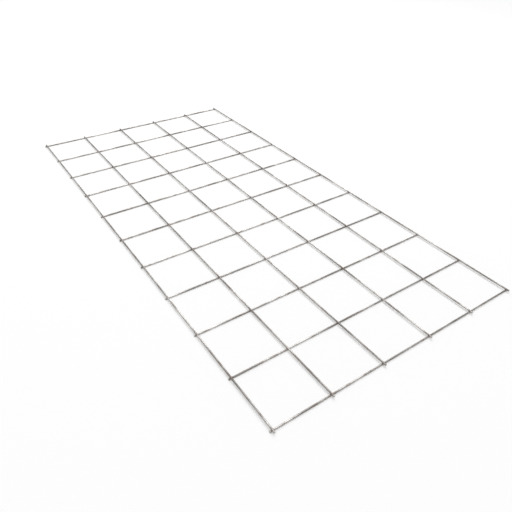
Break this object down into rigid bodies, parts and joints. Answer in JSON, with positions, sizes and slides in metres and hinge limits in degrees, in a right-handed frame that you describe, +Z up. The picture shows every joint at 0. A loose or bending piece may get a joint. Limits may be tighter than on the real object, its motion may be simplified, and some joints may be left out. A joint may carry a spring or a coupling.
{
  "type": "welded wire mesh panel",
  "caption": "Flat sheet of plain steel wires crossing at right angles and spot welded at every crossing, with wide square openings and short sheared wire ends past the outer wires.",
  "frame": {"origin": "middle of the sheet, at the level of the surface that its lower wires rest on", "axes": "+Z up out of the sheet, +Y along its length and the upper wires, +X along its width and the lower wires"},
  "size_m": [1.016, 2.017, 0.0113],
  "materials": {
    "steel_wire": "bright drawn wire, dulled by storage, with brown weld marks"
  },
  "bodies": {
    "root": {"mesh_panel": "steel_wire"}
  },
  "joints": []
}
